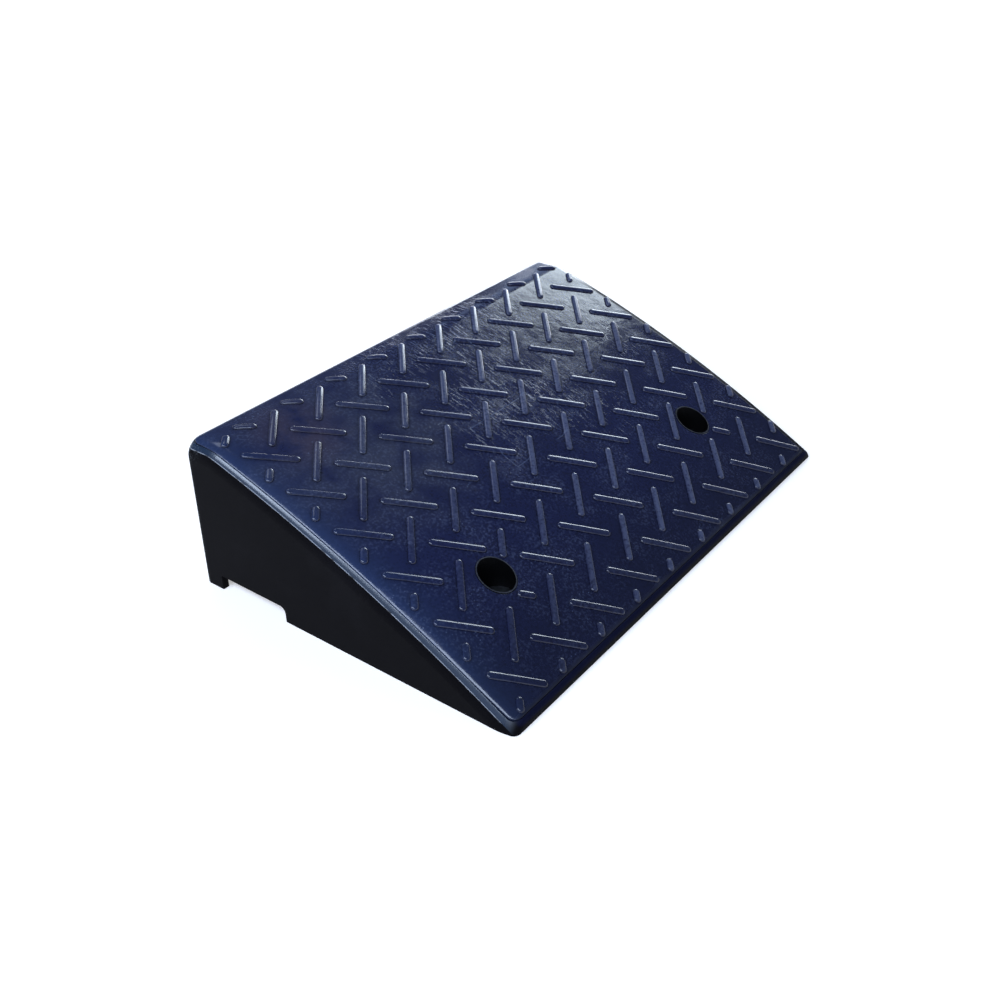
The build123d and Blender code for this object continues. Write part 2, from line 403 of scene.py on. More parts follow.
def deck_dirt_and_shade(tree, slope, x, y):
    """Road dirt and painted shade on the deck: the share along its right edge, along all low edges, and
    everywhere.

    Everywhere also darkens the lower slope a little towards the toe, and adds painted shade, thickest at the
    feet of the bars, where the sky is hidden."""
    low, right = slope.front_y, slope.half_length
    fade = {"Value": y, "From Min": low + 10 * MM, "From Max": low + 1 * MM}
    at_toe = add(tree, "ShaderNodeMapRange", fade, **SMOOTH)
    fade = {"Value": x, "From Min": right - 17 * MM, "From Max": right - 13 * MM}
    at_right = add(tree, "ShaderNodeMapRange", fade, **SMOOTH)
    fade = {"Value": y, "From Min": 135 * MM, "From Max": 80 * MM, "To Max": at_right}
    at_right = add(tree, "ShaderNodeMapRange", fade, **SMOOTH)
    at_edges = add(tree, "ShaderNodeMath", {0: at_toe, 1: at_right}, operation="MAXIMUM")
    # The lower slope darkens towards the toe.
    fade = {"Value": y, "From Min": low + 130 * MM, "From Max": low, "To Max": 0.45}
    low_down = add(tree, "ShaderNodeMapRange", fade, **SMOOTH)
    # Painted shade: the deck darkens where ambient occlusion finds the bars close by.
    open_sky = add(tree, "ShaderNodeAmbientOcclusion", {"Distance": 4 * MM}, "AO", samples=4)
    fade = {"Value": open_sky, "From Min": 0.95, "From Max": 0.55, "To Max": 0.7}
    foot_shade = add(tree, "ShaderNodeMapRange", fade, **SMOOTH)
    everywhere = add(tree, "ShaderNodeMath", {0: at_edges, 1: low_down}, operation="MAXIMUM")
    everywhere = add(tree, "ShaderNodeMath", {0: everywhere, 1: foot_shade}, operation="MAXIMUM")
    return at_right, at_edges, everywhere


def navy_rubber(tree):
    """Moulded navy EPDM rubber, polished by traffic.

    The eye sees a deep blue with a clear gloss, a paler mottled grain, crossing hairline scratches, pale
    specks, a paler blue beside the left edge that is a painted reflection of sky, thin dust and a brown stain
    at the rear left, paler and duller tops where wheels rub the bars, painted paler still on one family of
    bars and towards the right for the light that falls on them, dirt along the toe and the right edge,
    painted shade at the feet of the bars, a lower slope that darkens towards the toe, and the faint outline
    of a blank mould insert."""
    slope, colours = settings()
    place = add(tree, "ShaderNodeTexCoord", {}, "Object")
    x, y = (add(tree, "ShaderNodeSeparateXYZ", {0: place}, axis) for axis in "XY")
    # Widths in millimetres: wear, patches of grain, the grain, its finest part, and waves of the moulded skin
    cloud, patches, mottle, grain, peel = (
        add(tree, "ShaderNodeTexNoise", {"Vector": place, "Scale": 1 / (width * MM), "Detail": detail})
        for width, detail in ((110, 3.0), (31, 4.0), (2.4, 4.0), (1.1, 2.0), (11, 6.0))
    )
    wear_and_light = add(tree, "ShaderNodeAttribute", {}, "Fac", attribute_name="wear_and_light")
    at_right, at_edges, dirt_and_shade = deck_dirt_and_shade(tree, slope, x, y)

    scratch = scratches(tree, place, cloud)
    dots = add(tree, "ShaderNodeTexVoronoi", {"Vector": place, "Scale": 1 / (3.8 * MM)}, "Distance")
    specks = {"Value": dots, "From Min": 0.22, "From Max": 0.1, "To Max": 0.6}
    specks = add(tree, "ShaderNodeMapRange", specks, **SMOOTH)
    specks = {"Value": patches, "From Min": 0.54, "From Max": 0.66, "To Max": specks}
    specks = add(tree, "ShaderNodeMapRange", specks, **SMOOTH)
    line = insert_line(tree, slope, x, y, top=0.6)
    line = {"Value": patches, "From Min": 0.4, "From Max": 0.6, "To Max": line}
    line = add(tree, "ShaderNodeMapRange", line, **SMOOTH)
    marks = add(tree, "ShaderNodeMath", {0: scratch, 1: specks}, operation="MAXIMUM")
    marks = add(tree, "ShaderNodeMath", {0: marks, 1: line}, operation="MAXIMUM")

    dark = {"Value": mottle, "From Min": 0.5, "From Max": 0.34, "To Max": 0.6}
    dark = add(tree, "ShaderNodeMapRange", dark, **SMOOTH)
    pale = {"Value": mottle, "From Min": 0.5, "From Max": 0.66, "To Max": 0.8}
    pale = add(tree, "ShaderNodeMapRange", pale, **SMOOTH)
    pale = {"Value": patches, "From Min": 0.36, "From Max": 0.6, "To Max": pale}
    pale = add(tree, "ShaderNodeMapRange", pale, **SMOOTH)
    # Painted reflection: the layer turns paler blue towards the left edge, for sky mirrored where the
    # shoulder rounds over.
    painted_sheen = add(tree, "ShaderNodeMapRange", {"Value": x, "From Min": -160 * MM, "From Max": -243 * MM})
    painted_sheen = add(tree, "ShaderNodeMath", {0: painted_sheen, 1: 4.0}, operation="POWER")
    painted_sheen = add(tree, "ShaderNodeMath", {0: painted_sheen, 1: 0.5}, operation="MULTIPLY")
    film = near(tree, place, FILMED_AT, reach=140, full=25, top=0.36)
    film = {"Value": patches, "From Min": 0.25, "From Max": 0.6, "To Max": film}
    film = add(tree, "ShaderNodeMapRange", film, **SMOOTH)
    stain = near(tree, place, STAINED_AT, reach=55, full=12, top=0.6)
    stain = {"Value": patches, "From Min": 0.3, "From Max": 0.6, "To Max": stain}
    stain = add(tree, "ShaderNodeMapRange", stain, **SMOOTH)
    # Partly wear, partly painted light: rubbed tops are paler, painted paler still on the second family of
    # bars and towards the right, for the light that falls on them.
    rubbed = {"Value": mottle, "From Min": 0.15, "From Max": 0.55, "To Max": wear_and_light}
    rubbed = add(tree, "ShaderNodeMapRange", rubbed, **SMOOTH)
    rubbed = {"Value": x, "From Min": -280 * MM, "From Max": 60 * MM, "To Max": rubbed}
    rubbed = add(tree, "ShaderNodeMapRange", rubbed, **SMOOTH)
    scuffed = add(tree, "ShaderNodeMath", {0: marks, 1: 0.4}, operation="MULTIPLY")
    base = rgba(colours.navy, 0.7)
    for share, tint in (
        (cloud, rgba(colours.navy, 1.25)), (dark, rgba(colours.navy, 0.45)), (pale, rgba(colours.mottle)),
        (painted_sheen, rgba(colours.painted_sheen)), (film, rgba(colours.film)), (stain, rgba(colours.stain)),
        (dirt_and_shade, rgba(colours.dirt_and_shade)), (rubbed, rgba(colours.navy_worn_and_lit)), (scuffed, rgba(colours.scuff)),
    ):
        base = add(tree, "ShaderNodeMix", {0: share, 6: base, 7: tint}, 2, data_type="RGBA")

    rough = {"Value": grain, "From Min": 0.3, "From Max": 0.7, "To Min": 0.1, "To Max": 0.18}
    rough = add(tree, "ShaderNodeMapRange", rough)
    dull = {"Value": patches, "From Min": 0.45, "From Max": 0.65, "To Max": 0.08}
    dull = add(tree, "ShaderNodeMapRange", dull, **SMOOTH)
    rough = add(tree, "ShaderNodeMath", {0: rough, 1: dull}, operation="ADD")
    rough = add(tree, "ShaderNodeMath", {0: at_edges, 1: 0.4, 2: rough}, operation="MULTIPLY_ADD")
    dents = add(tree, "ShaderNodeMath", {0: marks, 1: -0.4, 2: peel}, operation="MULTIPLY_ADD")
    calm = {"Value": y, "From Min": 110 * MM, "From Max": 140 * MM, "To Min": 1.0, "To Max": 0.35}
    calm = add(tree, "ShaderNodeMapRange", calm)
    on_bar = add(tree, "ShaderNodeMapRange", {"Value": wear_and_light, "From Max": 0.15, "To Min": 1.0, "To Max": 0.3})
    calm = add(tree, "ShaderNodeMath", {0: calm, 1: on_bar}, operation="MULTIPLY")
    bump = add(tree, "ShaderNodeBump", {"Height": dents, "Strength": calm, "Distance": 0.22 * MM})
    shine = add(tree, "ShaderNodeMapRange", {"Value": at_right, "To Min": 0.5, "To Max": 0.025})
    look = {"Base Color": base, "Roughness": rough, "Normal": bump, "IOR": 1.5, "Specular IOR Level": shine}
    return add(tree, "ShaderNodeBsdfPrincipled", look)


def depth_below(tree, slope, place, z):
    """Depth of a point below the slope's arc or below the level strip, whichever is less."""
    s = slope.sizes
    axis = (0.0, slope.axis_y, slope.axis_z)
    arm = add(tree, "ShaderNodeVectorMath", {0: place, 1: axis}, operation="SUBTRACT")
    arm = add(tree, "ShaderNodeVectorMath", {0: arm, 1: (0, 1, 1)}, operation="MULTIPLY")
    radius = add(tree, "ShaderNodeVectorMath", {0: arm}, "Value", operation="LENGTH")
    below_slope = add(tree, "ShaderNodeMath", {0: s.deck_radius, 1: radius}, operation="SUBTRACT")
    below_strip = add(tree, "ShaderNodeMath", {0: s.rear_height, 1: z}, operation="SUBTRACT")
    return add(tree, "ShaderNodeMath", {0: below_slope, 1: below_strip}, operation="MINIMUM")


def black_rubber(tree):
    """Moulded black recycled rubber; the rim above the left flash line is tinted navy.

    The eye sees a matt, even black with a fine sandy grain and a little grey dust in it. The rim has the
    gloss of the wearing layer, and its navy, given to the left shoulder only, is a painted reflection of blue
    sky. The upper rear corners are scuffed grey, and every edge catches a thin line of light."""
    slope, colours = settings()
    s, front, flash = slope.sizes, slope.front_y, slope.sizes.flash_depth
    place = add(tree, "ShaderNodeTexCoord", {}, "Object")
    x, y, z = (add(tree, "ShaderNodeSeparateXYZ", {0: place}, axis) for axis in "XYZ")
    # Widths in millimetres: the sandy grain, clouds of dust, and crumbs in the scuffed corners
    grain, clouds, crumbs = (
        add(tree, "ShaderNodeTexNoise", {"Vector": place, "Scale": 1 / (width * MM), "Detail": detail})
        for width, detail in ((0.9, 3.0), (45, 4.0), (1.4, 5.0))
    )
    dust = {"Value": clouds, "From Min": 0.5, "From Max": 0.75, "To Max": 0.5}
    dust = add(tree, "ShaderNodeMapRange", dust, **SMOOTH)

    depth = depth_below(tree, slope, place, z)
    fade = {"Value": y, "From Min": front + 2 * MM, "From Max": front + 14 * MM}
    behind_toe = add(tree, "ShaderNodeMapRange", fade, **SMOOTH)
    # Painted reflection: the rim turns navy on the left shoulder only, for blue sky mirrored in it; its lower
    # roughness and higher shine are the rubber's own gloss.
    rim = {"Value": depth, "From Min": flash, "From Max": flash - 0.4 * MM, "To Max": behind_toe}
    rim = add(tree, "ShaderNodeMapRange", rim, **SMOOTH)
    rim = {"Value": x, "From Min": 220 * MM, "From Max": 120 * MM, "To Max": rim}
    rim = add(tree, "ShaderNodeMapRange", rim, **SMOOTH)
    fade = {"Value": depth, "From Min": 3 * MM, "From Max": 1 * MM, "To Max": 0.4}
    toe_top = add(tree, "ShaderNodeMapRange", fade, **SMOOTH)
    fade = {"Value": y, "From Min": front + 14 * MM, "From Max": front + 2 * MM, "To Max": toe_top}
    toe_top = add(tree, "ShaderNodeMapRange", fade, **SMOOTH)
    mirrored = add(tree, "ShaderNodeVectorMath", {0: place}, operation="ABSOLUTE")
    corner = [part / MM for part in (slope.half_length, slope.rear_y, s.rear_height)]
    at_corner = near(tree, mirrored, corner, reach=26, full=4, top=0.75)
    scuffs = {"Value": crumbs, "From Min": 0.5, "From Max": 0.68, "To Max": at_corner}
    scuffs = add(tree, "ShaderNodeMapRange", scuffs, **SMOOTH)

    base = rgba(colours.black)
    for share, tint in (
        (dust, colours.dust), (rim, colours.rim), (toe_top, colours.navy), (scuffs, colours.rubbed),
    ):
        base = add(tree, "ShaderNodeMix", {0: share, 6: base, 7: rgba(tint)}, 2, data_type="RGBA")
    rough = add(tree, "ShaderNodeMapRange", {"Value": rim, "To Min": 0.62, "To Max": 0.2})
    shine = add(tree, "ShaderNodeMapRange", {"Value": rim, "To Min": 0.038, "To Max": 0.8})
    soft_edges = add(tree, "ShaderNodeBevel", {"Radius": 0.7 * MM}, samples=4)
    sand = {"Height": grain, "Strength": 0.25, "Distance": 0.15 * MM, "Normal": soft_edges}
    bump = add(tree, "ShaderNodeBump", sand)
    look = {"Base Color": base, "Roughness": rough, "Normal": bump, "IOR": 1.5, "Specular IOR Level": shine}
    return add(tree, "ShaderNodeBsdfPrincipled", look)


def scuffed_and_lit_flash(tree):
    """Thin rubber flash, scuffed grey in handling; the pale grey is also a painted highlight for light caught
    along its edge. The eye sees a dull grey hairline with dark gaps.
    """
    colours = settings()[1]
    place = add(tree, "ShaderNodeTexCoord", {}, "Object")
    wear = add(tree, "ShaderNodeTexNoise", {"Vector": place, "Scale": 1 / (8.3 * MM), "Detail": 3.0})
    grey = add(tree, "ShaderNodeMapRange", {"Value": wear, "From Min": 0.3, "From Max": 0.52}, **SMOOTH)
    tints = {0: grey, 6: rgba(colours.dust), 7: rgba(colours.flash)}
    base = add(tree, "ShaderNodeMix", tints, 2, data_type="RGBA")
    return add(tree, "ShaderNodeBsdfPrincipled", {"Base Color": base, "Roughness": 0.6, "IOR": 1.5})


def black_tube(tree):
    """Extruded black polyethylene tube. The eye sees a dull black with a rubbed grey cut edge."""
    colours = settings()[1]
    place = add(tree, "ShaderNodeTexCoord", {}, "Object")
    facing = add(tree, "ShaderNodeNewGeometry", {}, "Normal")
    upward = add(tree, "ShaderNodeSeparateXYZ", {0: facing}, "Z")
    grain = add(tree, "ShaderNodeTexNoise", {"Vector": place, "Scale": 1 / (2.5 * MM), "Detail": 3.0})
    cut = {"Value": upward, "From Min": 0.5, "From Max": 0.8, "To Max": grain}
    cut = add(tree, "ShaderNodeMapRange", cut)
    tints = {0: cut, 6: rgba(colours.sleeve), 7: rgba(colours.sleeve_rim)}
    base = add(tree, "ShaderNodeMix", tints, 2, data_type="RGBA")
    look = {"Base Color": base, "Roughness": 0.5, "IOR": 1.51, "Specular IOR Level": 0.1}
    return add(tree, "ShaderNodeBsdfPrincipled", look)


def dull_zinc(tree):
    """Zinc-plated pressed steel. The eye sees a dull grey metal with a cloudy spangle."""
    colours = settings()[1]
    place = add(tree, "ShaderNodeTexCoord", {}, "Object")
    spangle = add(tree, "ShaderNodeTexVoronoi", {"Vector": place, "Scale": 1 / (2.9 * MM)}, "Color")
    bright = add(tree, "ShaderNodeSeparateColor", {0: spangle})
    tints = {0: bright, 6: rgba(colours.zinc, 0.7), 7: rgba(colours.zinc)}
    base = add(tree, "ShaderNodeMix", tints, 2, data_type="RGBA")
    rough = add(tree, "ShaderNodeMapRange", {"Value": bright, "To Min": 0.35, "To Max": 0.5})
    return add(tree, "ShaderNodeBsdfPrincipled", {"Base Color": base, "Roughness": rough, "Metallic": 1.0})


def dress(names, material):
    """Gives CAD nodes a material in all their slots."""
    for name in names:
        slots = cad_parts[name].material_slots
        if not slots:
            raise RuntimeError(f"{name} has no material slot")
        for entry in slots:
            entry.material = material


def layer_plan(slope, inset):
    """Plan of the wearing layer as a grid of x and y, drawn in by an inset.

    Rows run across and fill a rectangle with round corners: near its ends a row shortens by the corner's
    circle. Near both left corners the nodes draw in by a bell curve along the edge, where the layer has
    shrunk. The grid has a square of SQUARE_STEPS cells round each bolt hole. Returns x and y of the nodes,
    and the squares' first row and columns."""
    s = slope.sizes
    half_width = slope.half_length - s.seam_from_side - inset
    start, stop = slope.front_y + s.seam_from_toe + inset, slope.rear_y - s.seam_from_rear - inset
    corner = s.seam_corner - inset
    half_square = SQUARE_SIZE / 2
    right = stepped(
        0.0,
        (slope.bolt_xs[1] - half_square, MIDDLE_STEPS),
        (slope.bolt_xs[1] + half_square, SQUARE_STEPS),
        (slope.half_length - s.side_round, BORDER_STEPS),
        (half_width, SHOULDER_STEPS),
    )
    across = np.concatenate([-right[:0:-1], right])
    curve = corner * (1 - np.cos(np.linspace(0, math.pi / 2, CORNER_STEPS + 1)))
    along = stepped(
        start + corner,
        (slope.bolt_y - half_square, TOE_STEPS),
        (slope.bolt_y + half_square, SQUARE_STEPS),
        (slope.slope_end, SLOPE_STEPS),
        (slope.crease_y, CREASE_STEPS),
        (stop - corner, STRIP_STEPS),
    )
    rows = np.concatenate([start + curve[:-1], along[:-1], stop - curve[::-1]])
    from_end = np.minimum(np.minimum(rows - start, stop - rows), corner)
    width = half_width - corner + np.sqrt(corner**2 - (corner - from_end) ** 2)
    x = across[None, :] * (width / half_width)[:, None]
    y = np.repeat(rows[:, None], across.size, axis=1)
    from_rear, from_front = (y - slope.rear_y) / PULL_REACH, (y - slope.front_y) / PULL_REACH
    near_corner = np.exp(-(from_rear**2)) + np.exp(-(from_front**2))
    x = x + s.corner_pull * near_corner * np.clip(-x / half_width, 0, 1) ** PULL_POWER
    row = np.searchsorted(rows, slope.bolt_y - half_square - MERGE_WITHIN)
    columns = [np.searchsorted(across, place - half_square - MERGE_WITHIN) for place in slope.bolt_xs]
    return x, y, row, columns


def loop_of(grid):
    """Outer nodes of a grid in order round it."""
    return np.concatenate([grid[0, :-1], grid[:-1, -1], grid[-1, :0:-1], grid[:0:-1, 0]])


def layer_face(slope, inset, mouth, height):
    """One face of the layer: the plan grid without its two squares, and rings from each to a round mouth.

    A ring is a blend of the square's outline and the circle of radius mouth. The height is a function of x
    and y. Returns the patches, the outer loop and the mouths' loops."""
    x, y, row, columns = layer_plan(slope, inset)
    quads = grid_quads(*x.shape)
    keep = np.ones(quads.shape[:2], dtype=bool)
    patches, mouths = [], []
    for column, hole_x in zip(columns, slope.bolt_xs):
        block = (slice(row, row + SQUARE_STEPS + 1), slice(column, column + SQUARE_STEPS + 1))
        keep[row:row + SQUARE_STEPS, column:column + SQUARE_STEPS] = False
        square = np.stack([loop_of(x[block]), loop_of(y[block])], axis=-1)
        centre = np.array([hole_x, slope.bolt_y])
        turn = np.arctan2(*(square - centre).T[::-1])
        circle = centre + mouth * np.stack([np.cos(turn), np.sin(turn)], axis=-1)
        share = np.linspace(0, 1, MOUTH_STEPS + 1)[:, None, None]
        rings = (1 - share) * square + share * circle
        solid = np.concatenate([rings, height(rings[..., 0], rings[..., 1])[..., None]], axis=-1)
        patches.append((solid, grid_quads(*solid.shape[:2], wrap=True)))
        mouths.append(solid[-1])
    face = np.stack([x, y, height(x, y)], axis=-1)
    patches.append((face, quads[keep]))
    return patches, loop_of(face), mouths


def wearing_layer(slope, material):
    """The wearing layer as a closed slab: a top face, an under face, and walls whose upper edges roll over.

    The roll is a quarter circle: at turn t the edge lies roll (1 - sin t) inside and roll (1 - cos t)
    down."""
    s = slope.sizes
    roll = s.edge_roll

    def under(x, y):
        return slope.under(y, s.layer_thickness)

    levels, mouth_levels, patches = [], [[], []], []
    for turn in np.linspace(0, math.pi / 2, ROLL_STEPS + 1):
        inset, drop = roll * (1 - math.sin(turn)), roll * (1 - math.cos(turn))

        def top(x, y, drop=drop):
            return slope.top(x, y) - drop

        found, loop, mouths = layer_face(slope, inset, s.hole_radius + inset, top)
        if not levels:
            patches += found
        levels.append(loop)
        for store, mouth in zip(mouth_levels, mouths):
            store.append(mouth)
    found, loop, mouths = layer_face(slope, 0.0, s.hole_radius, under)
    patches += found
    for store, last in zip([levels] + mouth_levels, [loop] + mouths):
        store.append(last)
        wall = np.array(store)
        patches.append((wall, grid_quads(*wall.shape[:2], wrap=True)))
    piece = make_piece("wearing_layer", patches, material)
    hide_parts("tread_deck")


def bar_lines(slope, family):
    """Middle lines of one family of bars seen from above: start points, and stop points nearer to the toe.

    The centres lie on a regular grid. Each line is cut to the patterned field and kept clear of the holes."""
    s = slope.sizes
    side, shift = ((1, (0.0, s.row_pitch / 4)), (-1, (s.bar_pitch / 2, -s.row_pitch / 4)))[family]
    direction = np.array([side * math.cos(s.bar_lean), -math.sin(s.bar_lean)])
    count = math.ceil(slope.half_length / s.row_pitch) + 1
    steps = np.arange(-count, count + 1)
    across = steps * s.bar_pitch + shift[0]
    along = steps * s.row_pitch + shift[1] + slope.front_y + s.bars_from_toe
    centres = np.stack(np.meshgrid(across, along, indexing="ij"), axis=-1).reshape(-1, 2)
    reach = (s.bar_length - s.bar_width) / 2
    field_x = slope.half_length - s.pattern_from_side
    field_y = (slope.front_y + s.pattern_from_toe, slope.rear_y - s.pattern_from_rear)
    edges = np.array([[-field_x, field_x], field_y]) + np.array([1, -1]) * s.bar_width / 2
    ends = (edges[None] - centres[:, :, None]) / direction[None, :, None]
    low = np.maximum(ends.min(axis=2).max(axis=1), -reach)
    high = np.minimum(ends.max(axis=2).min(axis=1), reach)
    for hole_x in slope.bolt_xs:
        to_hole = np.array([hole_x, slope.bolt_y]) - centres
        ahead = to_hole @ direction
        aside = to_hole @ np.array([direction[1], -direction[0]])
        meets = np.hypot(np.clip(ahead, low, high) - ahead, aside) <= s.hole_radius + s.bar_width / 2
        meets &= high > low
        ring = s.hole_radius + s.bars_from_hole + s.bar_width / 2
        half_gap = np.sqrt(np.clip(ring**2 - aside**2, 0, None))
        beyond = np.maximum(low, ahead + half_gap)[meets], high[meets], centres[meets]
        high = np.where(meets, np.minimum(high, ahead - half_gap), high)
        low, high = np.concatenate([low, beyond[0]]), np.concatenate([high, beyond[1]])
        centres = np.concatenate([centres, beyond[2]])
    keep = high - low + s.bar_width >= s.shortest_bar
    return tuple(centres[keep] + end[keep, None] * direction for end in (low, high))


def bars(slope, family, name, material):
    """One family of bars, each a closed rounded ridge that follows the deck.

    A ring lies at a distance from the bar's middle line, so it is a stadium in the plane through both ends
    and parallel to X. Its height falls to the foot as a superellipse, which gives a flat top and round
    shoulders."""
    s = slope.sizes
    ends = (end.T for end in bar_lines(slope, family))
    start, stop = (np.stack([x, y, slope.under(y)], axis=-1) for x, y in ends)
    length = np.linalg.norm(stop - start, axis=1)
    run = (stop - start) / length[:, None]
    normal = np.cross(run, [1.0, 0.0, 0.0])
    sideways = np.cross(normal / np.linalg.norm(normal, axis=1)[:, None], run)
    half_foot = BAR_FOOT * s.bar_width
    share = np.sin(np.linspace(0, math.pi / 2, BAR_DOME_STEPS + 1))
    dome = (1 - share**BAR_SQUARENESS) ** (1 / BAR_SQUARENESS)
    distance = half_foot * np.concatenate([share, [1.0, 0.0]])
    height = np.concatenate([s.bar_height * dome, [-BAR_ROOT, -BAR_ROOT]])
    # Paleness of each ring: rubbed tops, and painted light that makes the second family paler.
    wear_and_light = BAR_WEAR_AND_LIGHT[family] * np.concatenate([dome**2, [0.0, 0.0]])

    turn = np.linspace(-math.pi / 2, math.pi / 2, BAR_END_STEPS + 1)
    straight = np.linspace(0, 1, BAR_SIDE_STEPS + 1)[1:-1]
    still = np.zeros(straight.size)
    end_share = np.concatenate([np.ones(turn.size), 1 - straight, np.zeros(turn.size), straight])
    cos_turn = np.concatenate([np.cos(turn), still, -np.cos(turn), still])
    sin_turn = np.concatenate([np.sin(turn), still + 1, -np.sin(turn), still - 1])
    ahead = (length[:, None] * end_share)[:, None, :] + distance[None, :, None] * cos_turn[None, None, :]
    aside = np.broadcast_to(distance[None, :, None] * sin_turn[None, None, :], ahead.shape)
    foot = start[:, None, None, :] + ahead[..., None] * run[:, None, None, :]
    foot = foot + aside[..., None] * sideways[:, None, None, :]
    x, y = foot[..., 0], foot[..., 1]
    lift = np.broadcast_to(height[None, :, None], x.shape)
    tilt = slope.tilt(y)
    points = np.stack([x, y - lift * tilt, slope.under(y) + lift * np.sqrt(1 - tilt**2)], axis=-1)
    count, rings, steps = x.shape
    quads = grid_quads(rings, steps, wrap=True).reshape(1, -1, 4)
    quads = quads + (np.arange(count) * rings * steps)[:, None, None]
    values = {"wear_and_light": np.broadcast_to(wear_and_light[None, :, None], x.shape).astype(np.float32)}
    piece = make_piece(name, [(points, quads)], material, BEAD_EDGE, values)
    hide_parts("tread_deck")


def flash_line(slope, side, name, material):
    """Bead of moulding flash along one shoulder of the body: a thin tube whose ends close to points.

    Its path lies a fixed depth below the deck. Beside the slope it keeps one x; at the rear corner the
    shoulder's radius shrinks by the rear rounding, which carries the path round to the rear wall."""
    s = slope.sizes
    sunk = FLASH_SUNK * s.flash_radius
    bend = slope.rear_y - s.rear_round
    last = bend + math.sqrt(s.rear_round**2 - (s.rear_round - s.flash_depth) ** 2) - sunk
    beside_slope = np.linspace(slope.front_y + FLASH_FROM_TOE, bend, FLASH_STEPS + 1)
    round_corner = bend + (last - bend) * np.sin(np.linspace(0, math.pi / 2, FLASH_BEND_STEPS + 1))
    y = np.concatenate([beside_slope[:-1], round_corner])
    behind = np.clip(y - bend, 0, None) * s.rear_round / (s.rear_round - sunk)
    shoulder = s.side_round - s.rear_round + np.sqrt(np.clip(s.rear_round**2 - behind**2, 0, None))
    reach = np.sqrt(np.clip(shoulder**2 - (s.side_round - s.flash_depth) ** 2, 0, None))
    x = side * (slope.half_length - s.side_round + reach - sunk)
    path = np.stack([x, y, slope.under(y, s.flash_depth)], axis=-1)
    ahead = np.gradient(path, axis=0)
    level = np.cross(ahead, [0.0, 0.0, 1.0])
    level /= np.linalg.norm(level, axis=1)[:, None]
    rise = np.cross(level, ahead)
    rise /= np.linalg.norm(rise, axis=1)[:, None]
    turn = np.linspace(0, 2 * math.pi, FLASH_SIDES + 1)[:-1]
    radius = np.full(y.size, s.flash_radius)
    radius[[0, -1]] = 0.0
    ring = np.cos(turn)[None, :, None] * level[:, None, :] + np.sin(turn)[None, :, None] * rise[:, None, :]
    points = path[:, None, :] + radius[:, None, None] * ring
    tube = [(points, grid_quads(*points.shape[:2], wrap=True))]
    make_piece(name, tube, material, BEAD_EDGE)


class KERB_OT_wearing_layer(bpy.types.Operator):
    """Build the wearing layer in place of its CAD solid"""

    bl_idname = "kerb.wearing_layer"
    bl_label = "Wearing layer"

    def execute(self, context):
        wearing_layer(settings()[0], finish("navy_moulded_rubber", navy_rubber))
        return {"FINISHED"}


class KERB_OT_bars(bpy.types.Operator):
    """Build the two crossed families of raised bars"""

    bl_idname = "kerb.bars"
    bl_label = "Raised bars"

    def execute(self, context):
        for family, name in enumerate(("bars_falling_right", "bars_falling_left")):
            bars(settings()[0], family, name, finish("navy_moulded_rubber", navy_rubber))
        return {"FINISHED"}


class KERB_OT_body(bpy.types.Operator):
    """Give the hollow body its black rubber and its flash lines"""

    bl_idname = "kerb.body"
    bl_label = "Body"

    def execute(self, context):
        dress(["body"], finish("black_moulded_rubber", black_rubber))
        # The flash's grey is partly scuffing and partly a painted highlight.
        scuffed = finish("scuffed_and_lit_rubber_flash", scuffed_and_lit_flash)
        for side, word in zip((-1, 1), SIDES):
            flash_line(settings()[0], side, f"flash_line_{word}", scuffed)
        return {"FINISHED"}


class KERB_OT_sleeves(bpy.types.Operator):
    """Give the bolt sleeves their black tube"""

    bl_idname = "kerb.sleeves"
    bl_label = "Bolt sleeves"

    def execute(self, context):
        dress([f"bolt_sleeve_{side}" for side in SIDES], finish("black_polyethylene_tube", black_tube))
        return {"FINISHED"}


class KERB_OT_washers(bpy.types.Operator):
    """Give the seat washers their zinc"""

    bl_idname = "kerb.washers"
    bl_label = "Seat washers"

    def execute(self, context):
        dress([f"seat_washer_{side}" for side in SIDES], finish("zinc_plated_steel", dull_zinc))
        return {"FINISHED"}


def white_paper(tree):
    """Matt white paper: white to the eye, with the shadow kept. Seen from below it lets the view through."""
    camera, mirrored, through = (
        add(tree, "ShaderNodeLightPath", {}, f"Is {kind} Ray")
        for kind in ("Camera", "Glossy", "Transmission")
    )
    seen = add(tree, "ShaderNodeMath", {0: camera, 1: mirrored}, operation="MAXIMUM")
    seen = add(tree, "ShaderNodeMath", {0: seen, 1: through}, operation="MAXIMUM")
    place = add(tree, "ShaderNodeTexCoord", {}, "Object")
    away = add(tree, "ShaderNodeVectorMath", {0: place}, "Value", operation="LENGTH")
    level = {"Value": away, "From Min": GLOW_FROM, "From Max": GLOW_TO, "To Min": GLOW_LEAST}
    level = add(tree, "ShaderNodeMapRange", level, **SMOOTH)
    level = add(tree, "ShaderNodeMath", {0: seen, 1: level}, operation="MULTIPLY")
    glow = add(tree, "ShaderNodeEmission", {"Color": rgba(linear(WHITE)), "Strength": level})
    matt = add(tree, "ShaderNodeBsdfDiffuse", {"Color": rgba(linear(PAPER))})
    lit = add(tree, "ShaderNodeAddShader", {0: matt, 1: glow})
    below = add(tree, "ShaderNodeNewGeometry", {}, "Backfacing")
    clear = add(tree, "ShaderNodeBsdfTransparent", {})
    return add(tree, "ShaderNodeMixShader", {0: below, 1: lit, 2: clear})


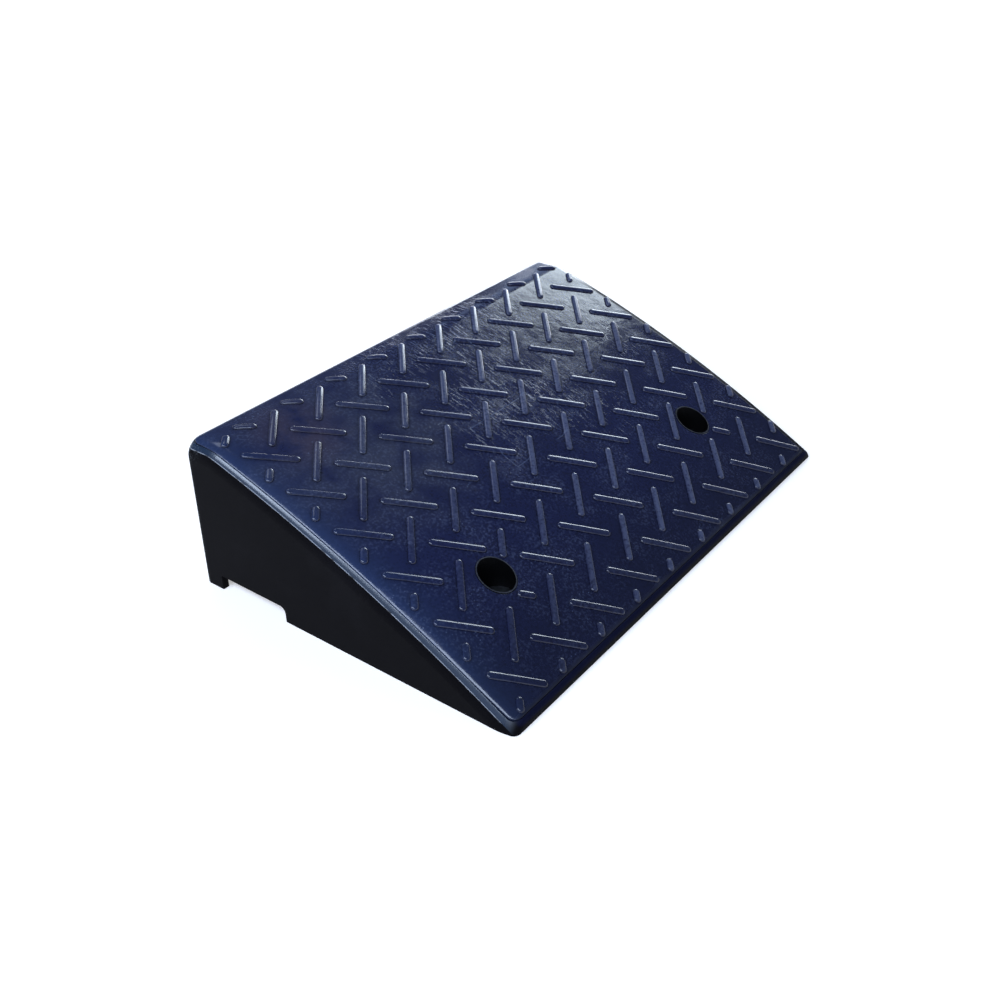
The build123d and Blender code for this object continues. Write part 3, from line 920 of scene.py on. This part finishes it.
def pale_sky(tree):
    """A pale world: light grey at the horizon, dimmer and cooler overhead."""
    way = add(tree, "ShaderNodeTexCoord", {}, "Generated")
    upward = add(tree, "ShaderNodeSeparateXYZ", {0: way}, "Z")
    height = add(tree, "ShaderNodeMapRange", {"Value": upward, "From Min": 0.05, "From Max": 0.5}, **SMOOTH)
    tints = {0: height, 6: rgba(linear(HORIZON)), 7: rgba(linear(OVERHEAD))}
    tint = add(tree, "ShaderNodeMix", tints, 2, data_type="RGBA")
    return add(tree, "ShaderNodeBackground", {"Color": tint, "Strength": SKY_STRENGTH})


def soft_lamp(name, place, aim, width, height, watts, tint):
    """A rectangular soft lamp at a place, turned to a point."""
    data = bpy.data.lights.new(name, "AREA")
    data.shape = "RECTANGLE"
    data.size, data.size_y = width, height
    data.energy = watts
    data.color = linear(tint)
    lamp = bpy.data.objects.new(name, data)
    lamp.location = place
    lamp.rotation_euler = (Vector(aim) - Vector(place)).to_track_quat("-Z", "Y").to_euler()
    bpy.context.scene.collection.objects.link(lamp)


class KERB_OT_stage(bpy.types.Operator):
    """Make the floor, the lamps, the world and the camera"""

    bl_idname = "kerb.stage"
    bl_label = "Stage"

    def execute(self, context):
        scene = context.scene
        scene.view_settings.view_transform = "Standard"
        mesh = bpy.data.meshes.new("floor")
        corners = [(-1, -1), (1, -1), (1, 1), (-1, 1)]
        corners = [(x * FLOOR_REACH, y * FLOOR_REACH, FLOOR_LEVEL) for x, y in corners]
        mesh.from_pydata(corners, [], [(0, 1, 2, 3)])
        mesh.materials.append(finish("white_paper", white_paper))
        floor = bpy.data.objects.new("floor", mesh)
        scene.collection.objects.link(floor)

        world = bpy.data.worlds.new("pale_world")
        world.use_nodes = True
        world.node_tree.nodes.clear()
        add(world.node_tree, "ShaderNodeOutputWorld", {"Surface": pale_sky(world.node_tree)})
        scene.world = world
        for lamp in LAMPS:
            soft_lamp(*lamp)

        data = bpy.data.cameras.new("camera")
        data.lens = CAMERA_LENS
        data.shift_x, data.shift_y = CAMERA_SHIFT
        camera = bpy.data.objects.new("camera", data)
        turn = Euler([math.radians(angle) for angle in CAMERA_TURN])
        camera.matrix_world = Matrix.LocRotScale(Vector(CAMERA_PLACE), turn, None)
        scene.collection.objects.link(camera)
        scene.camera = camera
        return {"FINISHED"}


class KERB_PT_panel(bpy.types.Panel):
    """Lists the ramp's sizes, colours and operators"""

    bl_idname = "KERB_PT_panel"
    bl_label = "Kerb ramp"
    bl_space_type = "VIEW_3D"
    bl_region_type = "UI"
    bl_category = "Kerb ramp"

    def draw(self, context):
        for group in (context.scene.ramp_sizes, context.scene.ramp_colours):
            box = self.layout.box()
            for name in group.bl_rna.properties.keys():
                if name not in {"rna_type", "name"}:
                    box.prop(group, name)
        for operator in OPERATORS:
            self.layout.operator(operator.bl_idname)


OPERATORS = (
    KERB_OT_body,
    KERB_OT_wearing_layer,
    KERB_OT_bars,
    KERB_OT_sleeves,
    KERB_OT_washers,
    KERB_OT_stage,
)
CLASSES = (RampSizes, RampColours, *OPERATORS, KERB_PT_panel)


def register():
    for entry in CLASSES:
        bpy.utils.register_class(entry)
    bpy.types.Scene.ramp_sizes = PointerProperty(type=RampSizes)
    bpy.types.Scene.ramp_colours = PointerProperty(type=RampColours)


def unregister():
    del bpy.types.Scene.ramp_colours
    del bpy.types.Scene.ramp_sizes
    for entry in reversed(CLASSES):
        bpy.utils.unregister_class(entry)


def main():
    """Registers the classes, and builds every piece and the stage."""
    register()
    bpy.ops.kerb.body()
    bpy.ops.kerb.wearing_layer()
    bpy.ops.kerb.bars()
    bpy.ops.kerb.sleeves()
    bpy.ops.kerb.washers()
    bpy.ops.kerb.stage()


if __name__ == "__main__":
    main()
